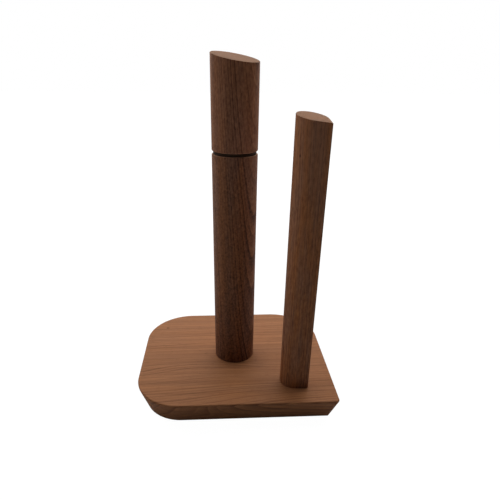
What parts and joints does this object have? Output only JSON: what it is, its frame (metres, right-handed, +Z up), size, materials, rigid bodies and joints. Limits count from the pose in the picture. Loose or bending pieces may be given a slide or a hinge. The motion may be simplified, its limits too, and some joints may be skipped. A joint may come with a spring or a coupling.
{
  "type": "paper towel holder",
  "caption": "Free-standing walnut paper towel holder: board with one crisp corner, round post with a turning lift-off cap, and a slanted tear arm.",
  "frame": {"origin": "on the surface that the feet stand on, below the middle of the board's outline", "axes": "+Z up along the post; +X to the right, -Y to the front; the crisp corner and the tear arm are at +X, -Y"},
  "size_m": [0.1806, 0.153, 0.2945],
  "materials": {
    "walnut": "oiled, straight grain along the board and up the sticks",
    "steel": "plain zinc-plated or stainless, satin",
    "brass": "turned, satin",
    "black_nylon": "matt",
    "rubber": "matt",
    "beech": "plain"
  },
  "bodies": {
    "holder": {"base_board": "walnut", "roll_post": "walnut", "tear_arm": "walnut", "post_ferrule": "brass", "post_insert": "brass", "post_washer": "steel", "post_screw": "steel", "post_dowel": "beech", "arm_insert": "brass", "arm_washer": "steel", "arm_screw": "steel", "arm_dowel": "beech", "foot_front_left": "rubber", "foot_front_right": "rubber", "foot_back_left": "rubber", "foot_back_right": "rubber"},
    "spacer": {"spacer_ring": "black_nylon"},
    "cap": {"post_cap": "walnut", "cap_insert": "brass", "cap_stud": "steel"}
  },
  "joints": [
    {"name": "cap_lift", "type": "slide", "parent": "holder", "child": "spacer", "axis": [0, 0, 1], "range_m": [0, 0.06]},
    {"name": "cap_turn", "type": "hinge", "parent": "spacer", "child": "cap", "pos_m": [0.0008, 0.0025, 0.2223], "axis": [0, 0, 1], "continuous": true}
  ]
}
